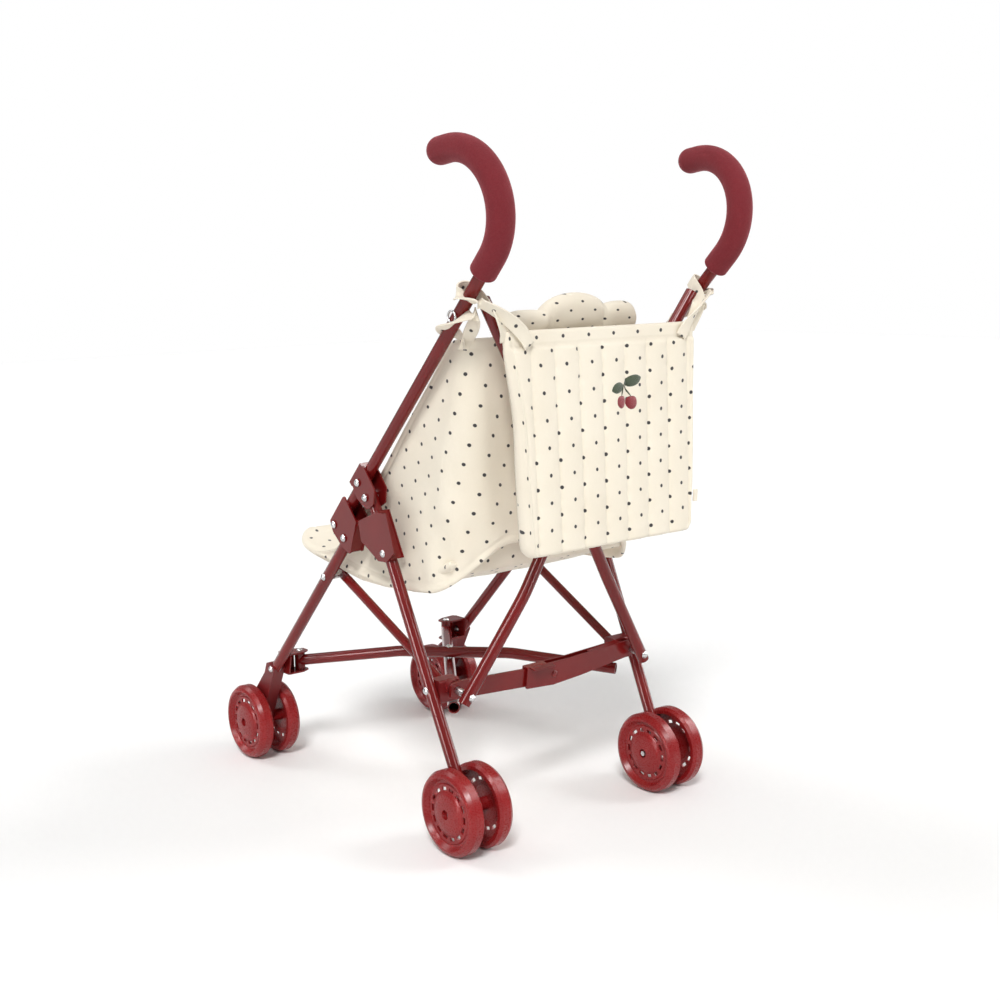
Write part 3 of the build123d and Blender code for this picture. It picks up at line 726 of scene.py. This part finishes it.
def makeShell(side, body, label, node):
    w = shell
    across, tall = w["columns"], w["rows"]
    turn = math.radians(w["printTurn"])
    outer, inner, flats = [], [], []
    tops = [shellTop(i / across) for i in range(across + 1)]
    for _ in range(3):
        tops = [(tops[max(i - 1, 0)] + 2 * z + tops[min(i + 1, across)]) / 4 for i, z in enumerate(tops)]
    for j in range(tall + 1):
        v = j / tall
        for i in range(across + 1):
            share = i / across
            low = follow(w["hem"], shellPoint(share, 192.0)[0].y)
            low += w["rearRise"] * ease((share - 0.60) / 0.24)
            z = mix(low, max(tops[i], low + 1.0), v)
            point, out, run = shellPoint(share, z)
            above, below = (tops[i] - z) * 0.75, z - low
            edge = min(above, below)
            belly = math.sin(math.pi * min(share / 0.62, 1.0)) * math.sin(math.pi * v)
            shift = -w["slack"] * belly + 2.5 * math.sin(math.pi * v) * ease((share - 0.6) / 0.15)
            shift += (1.6 * ripple(point.y, z, side * 30, 0.020, 2.0)
                      + 0.6 * ripple(point.y + point.x, z, side * 30, 0.055, 9.0)) * ease(edge / 16)
            folds = math.exp(-((math.hypot(point.y - 112, (z - 200) * 0.6) / 42) ** 2))
            shift += 1.4 * math.sin((point.y - point.x) * 0.16 + z * 0.05) * folds * ease(edge / 12)
            seam = max(math.exp(-(((above - 5.5) / 0.9) ** 2)),
                       math.exp(-(((below - w["hemWide"]) / 0.9) ** 2)))
            seam = max(seam, math.exp(-(((1 - share) * 230 / 1.1) ** 2)))
            bound = 0.6 * (1 - ease((edge - 4.0) / 1.5))
            half = (w["thick"] / 2) * (0.35 + 0.65 * ease(edge / 1.2)) + bound - 0.5 * seam
            for sheet, reach in ((outer, shift + half), (inner, shift - half)):
                p = point + out * reach
                sheet.append(Vector((side * max(p.x, 0.0), p.y, p.z)) * mm)
            flats.append(((run * math.sin(turn) - z * math.cos(turn) - w["printAt"][0]) * mm,
                          (run * math.cos(turn) + z * math.sin(turn) - w["printAt"][1]) * mm))
    count = across + 1
    offset = len(outer)
    faces = []
    for j in range(tall):
        for i in range(across):
            quad = (j * count + i, j * count + i + 1, (j + 1) * count + i + 1, (j + 1) * count + i)
            faces.append(quad)
            faces.append(tuple(offset + q for q in reversed(quad)))
    rim = [(i, i + 1) for i in range(across)]
    rim += [(j * count + across, (j + 1) * count + across) for j in range(tall)]
    rim += [(tall * count + i + 1, tall * count + i) for i in range(across)]
    rim += [((j + 1) * count, j * count) for j in range(tall)]
    faces += [(b, a, offset + a, offset + b) for a, b in rim]
    if side < 0:
        faces = [tuple(reversed(face)) for face in faces]
    piece = newPiece("seat_shell_" + label, outer + inner, faces, flats * 2, cottonFinish, body)
    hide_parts(node)
    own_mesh(piece)
    return piece


headrest = {
    "lobes": ((44.0, 24.0, 403.5), (-3.0, 32.0, 415.0), (-49.5, 21.5, 407.5)),
    "valley": 400.5,
    "base": 383.0,
    "endFall": 9.0,
    "thick": 17.0,
    "pinch": 0.45,
    "columns": 150,
    "turns": 56,
}


def headrestTop(x):
    # the scalloped top edge, and how full the roll is there
    h = headrest
    top, full = h["valley"] - h["endFall"], 1 - h["pinch"]
    for middle, half, peak in h["lobes"]:
        u = abs(x - middle) / half
        if u < 1:
            inner = min(abs(x - 64.0), abs(x + 69.0)) / 20
            low = h["valley"] - h["endFall"] * (1 - ease(inner))
            top = max(top, low + (peak - low) * (1 - u * u) ** 0.5)
            full = max(full, 1 - h["pinch"] * u ** 6)
    return top, full


def makeHeadrest():
    # a stuffed roll: a tall middle lobe and a lower one on each side, pinched in between
    h = headrest
    rows, cloth = [], []
    x0, x1 = 64.0, -69.0
    for i in range(h["columns"] + 1):
        x = mix(x0, x1, i / h["columns"])
        top, full = headrestTop(x)
        end = min(x0 - x, x - x1)
        closing = math.sqrt(max(0.02, 1 - (1 - min(end / 9.0, 1.0)) ** 2))
        middle, tall = (top + h["base"]) / 2, (top - h["base"]) / 2 * closing
        thick = h["thick"] / 2 * full * closing
        row = []
        for k in range(h["turns"]):
            a = 2 * math.pi * k / h["turns"]
            z = middle + tall * math.copysign(abs(math.sin(a)) ** 0.85, math.sin(a))
            gather = 0.8 * math.sin(x * 1.9) * (1 - full) / h["pinch"]
            gather += 0.7 * ripple(x, z, math.cos(a), 0.07, 4.0)
            y = 129.5 + (z - 378) * 0.168 + math.cos(a) * (thick + gather)
            row.append(Vector((x, y, z)) * mm)
            cloth.append(((x + 4 + 3 * math.cos(a)) * mm, (z * 1.15 + 6 * math.sin(a)) * mm))
        rows.append(row)
    piece = newPiece("headrest_roll", [p for row in rows for p in row], skin(rows, True, True), cloth,
                     cottonFinish, "left_frame")
    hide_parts("headrest")
    return piece


seatPieces = [makeSeatBase(), makeSeatBack(), makeHeadrest()]
makeShell(1, "left_frame", "left", "seat_wing_left")
makeShell(-1, "right_frame", "right", "seat_wing_right")
print("seat made")

# straps

straps = {
    "width": 10.2,
    "thick": 1.5,
    "stitchIn": 1.3,        # from the band's edge to its stitch line
    "stitchDeep": 0.22,
}


def makeBand(name, corners, facing, width, thick, body, count=90):
    # a flat sewn band along a rounded line; facing, the way its flat side looks, is spaced evenly by itself
    line = smoothPath(corners, count)
    looks = smoothPath(facing, count)
    rows, cloth = [], []
    run = 0.0
    for i, point in enumerate(line):
        ahead = (line[min(i + 1, count - 1)] - line[max(i - 1, 0)]).normalized()
        look = (looks[i] - ahead * looks[i].dot(ahead)).normalized()
        across = ahead.cross(look)
        if i:
            run += (point - line[i - 1]).length
        row = []
        for x, t, side in padRing(width / 2, thick, 14):
            offLine = (width / 2 - abs(x) - straps["stitchIn"]) / 0.4
            stitch = straps["stitchDeep"] * math.exp(-(offLine ** 2)) if side else 0.0
            row.append((point + across * x + look * (t - side * stitch)) * mm)
            cloth.append((x * mm, run * mm))
        rows.append(row)
    points = [p for row in rows for p in row]
    piece = newPiece(name, points, skin(rows, True, True), cloth, cottonFinish, body)
    return piece, run


def sideStraps(side, body, label):
    # each pair: a place on the band and the way its flat side looks, for the left side
    bagBand = (((76, 176.4, 380), (0, 1, 0.1)), ((80, 177.2, 387), (0, 1, 0.1)),
               ((90, 177.5, 396), (0.1, 1, 0.2)),
               ((102, 174.5, 404.5), (0.3, 1, 0.2)), ((113, 169.0, 411), (0.5, 0.9, 0)),
               ((120.5, 162.5, 413.5), (1, 0.6, -0.1)), ((122.3, 155.0, 416.5), (1, -0.2, 0.1)),
               ((118.5, 150.6, 421.5), (0.3, -0.8, 0.6)), ((111.0, 152.4, 422.5), (-0.6, -0.6, 0.5)),
               ((107.6, 159.5, 417.5), (-1, 0.3, 0.1)), ((105.8, 166.6, 411), (-0.5, 1, 0.1)),
               ((100.5, 171.5, 402), (-0.1, 1, 0.2)), ((94, 171.4, 391.5), (0, 1, 0)),
               ((92, 169.8, 384), (0, 1, 0)))
    seatBand = (((99.5, 133.0, 377), (0.5, 0.9, 0)), ((101, 138.5, 385), (0.5, 0.9, 0)),
                ((104, 149.5, 395), (0.3, 1, -0.1)), ((109, 161.5, 403), (0.1, 1, -0.1)),
                ((114.5, 162.0, 403.5), (0.5, 0.9, -0.2)), ((119.5, 155.0, 400.5), (0.9, 0.5, -0.2)),
                ((121.4, 146.0, 397), (1, 0.1, 0)), ((121.0, 136.5, 393.5), (1, -0.2, 0)),
                ((117.5, 130.4, 392.5), (0.4, -0.8, 0.4)), ((110.5, 130.2, 391.5), (-0.5, -0.8, 0.3)),
                ((105.5, 134.5, 388), (-1, 0.1, 0)), ((101.0, 134.5, 379), (-0.9, 0.5, 0)))
    made = []
    for name, band in (("bag_strap_band_", bagBand), ("seat_strap_band_", seatBand)):
        places = [(side * x, y, z) for (x, y, z), look in band]
        looks = [(side * x, y, z) for place, (x, y, z) in band]
        piece, run = makeBand(name + label, places, looks, straps["width"], straps["thick"], body)
        made.append(piece)
    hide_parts("bag_strap_" + label)
    return made


sideStraps(1, "left_frame", "left")
sideStraps(-1, "right_frame", "right")
print("straps made")

# motif and tag

motif = {
    "fruits": ((-11.0, 334.5, 4.6), (-21.5, 333.5, 4.9)),
    "fork": (-14.5, 347.5),
    "leaves": (((-14.5, 347.5), (-31.5, 351.5), 4.1), ((-13.5, 347.0), (-1.5, 343.0), 3.9)),
    "stemWide": 0.55,
    "raised": 0.85,
}
tag = {"x": -93.0, "z": 254.5, "wide": 4.2, "tall": 9.5, "thick": 1.0}


def onBag(x, z, lift):
    return Vector((x, bagRear(x, z) + bagOut(x, z, True) + lift, z)) * mm


def patch(name, outlineAt, finish, turn=0.0, rings=9, turns=44):
    # a stitched shape on the bag's rear face; outlineAt gives the point at an angle and a share outwards
    rows, cloth = [], []
    for lift, shares in ((1, range(rings + 1)), (-1, range(rings, -1, -1))):
        for i in shares:
            share = max(i / rings, 0.01)
            height = motif["raised"] * (1 - share ** 2.6) if lift > 0 else -0.35
            row = []
            for k in range(turns):
                x, z = outlineAt(2 * math.pi * k / turns, share)
                row.append(onBag(x, z, height))
                cloth.append(((x * math.cos(turn) + z * math.sin(turn)) * mm,
                              (z * math.cos(turn) - x * math.sin(turn)) * mm))
            rows.append(row)
    points = [p for row in rows for p in row]
    return newPiece(name, points, skin(rows, True, True), cloth, finish, "left_frame")


def makeMotif():
    made = []
    for number, (fx, fz, radius) in enumerate(motif["fruits"]):
        def fruitAt(a, share, fx=fx, fz=fz, radius=radius):
            dent = 1 - 0.12 * max(0.0, math.sin(a)) ** 8
            return fx + radius * share * math.cos(a), fz + radius * 1.08 * share * math.sin(a) * dent
        made.append(patch("fruit_%d" % (number + 1), fruitAt, fruitFinish, 0.4))
    for number, (root, tip, half) in enumerate(motif["leaves"]):
        root, tip = Vector(root), Vector(tip)
        ahead = (tip - root) / 2
        aside = Vector((-ahead.y, ahead.x)).normalized() * half

        def leafAt(a, share, middle=(root + tip) / 2, ahead=ahead, aside=aside):
            bend = math.sin(a) * (1 - math.cos(a) ** 4 * 0.55)
            p = middle + (ahead * math.cos(a) + aside * bend) * share
            return p.x, p.y
        made.append(patch("leaf_%d" % (number + 1), leafAt, leafFinish, math.atan2(ahead.y, ahead.x) + 0.9))
    fork = Vector(motif["fork"])
    for number, (fx, fz, radius) in enumerate(motif["fruits"]):
        foot = Vector((fx, fz + radius * 0.85))
        ahead = (foot - fork) / 2
        aside = Vector((-ahead.y, ahead.x)).normalized() * motif["stemWide"]

        def stemAt(a, share, middle=(foot + fork) / 2, ahead=ahead, aside=aside):
            sway = aside * (0.8 * math.cos(math.pi * 0.5 * math.cos(a) * share))
            p = middle + ahead * math.cos(a) * share + aside * math.sin(a) * share + sway
            return p.x, p.y
        made.append(patch("stem_%d" % (number + 1), stemAt, stemFinish, 0.0, 5, 40))
    return made


def makeTag():
    # a folded woven tab let into the bag's side seam
    rows, cloth = [], []
    for i in range(15):
        share = i / 14
        x = tag["x"] - tag["wide"] * share
        fold = math.sqrt(max(0.02, 1 - max(0.0, (share - 0.75) / 0.25) ** 2))
        row = []
        for z, t, side in padRing(tag["tall"] / 2, tag["thick"] * fold, 10):
            y = 173.6 + t + 0.5 * math.sin(share * 2.2) + 0.25 * math.sin(z * 0.5)
            row.append(Vector((x, y, tag["z"] + z)) * mm)
            cloth.append((z * mm, (x + side) * mm))
        rows.append(row)
    return newPiece("side_tag", [p for row in rows for p in row], skin(rows, True, True), cloth, plainCotton,
                    "left_frame")


trimPieces = makeMotif() + [makeTag()]
print("motif and tag made")

# folding

for piece in [bagPiece] + seatPieces + trimPieces:
    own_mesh(piece)
print("soft pieces follow the fold")

# floor

floorMesh = bpy.data.meshes.new("floor")
floorMesh.from_pydata([(-6, -6, 0), (6, -6, 0), (6, 6, 0), (-6, 6, 0)], [], [(0, 1, 2, 3)])
floor = bpy.data.objects.new("floor", floorMesh)
floor.location.z = -0.0002
bpy.context.scene.collection.objects.link(floor)
floorRecipe = Recipe("studio floor")
floorTone = floorRecipe.noise(floorRecipe.objectSpace(), 3.0, 2.0)
floorMesh.materials.append(floorRecipe.finish(
    Base_Color=floorRecipe.blend(floorTone, studio["floorColour"], (0.94, 0.938, 0.93, 1)), Roughness=0.7,
    Specular_IOR_Level=0.2))
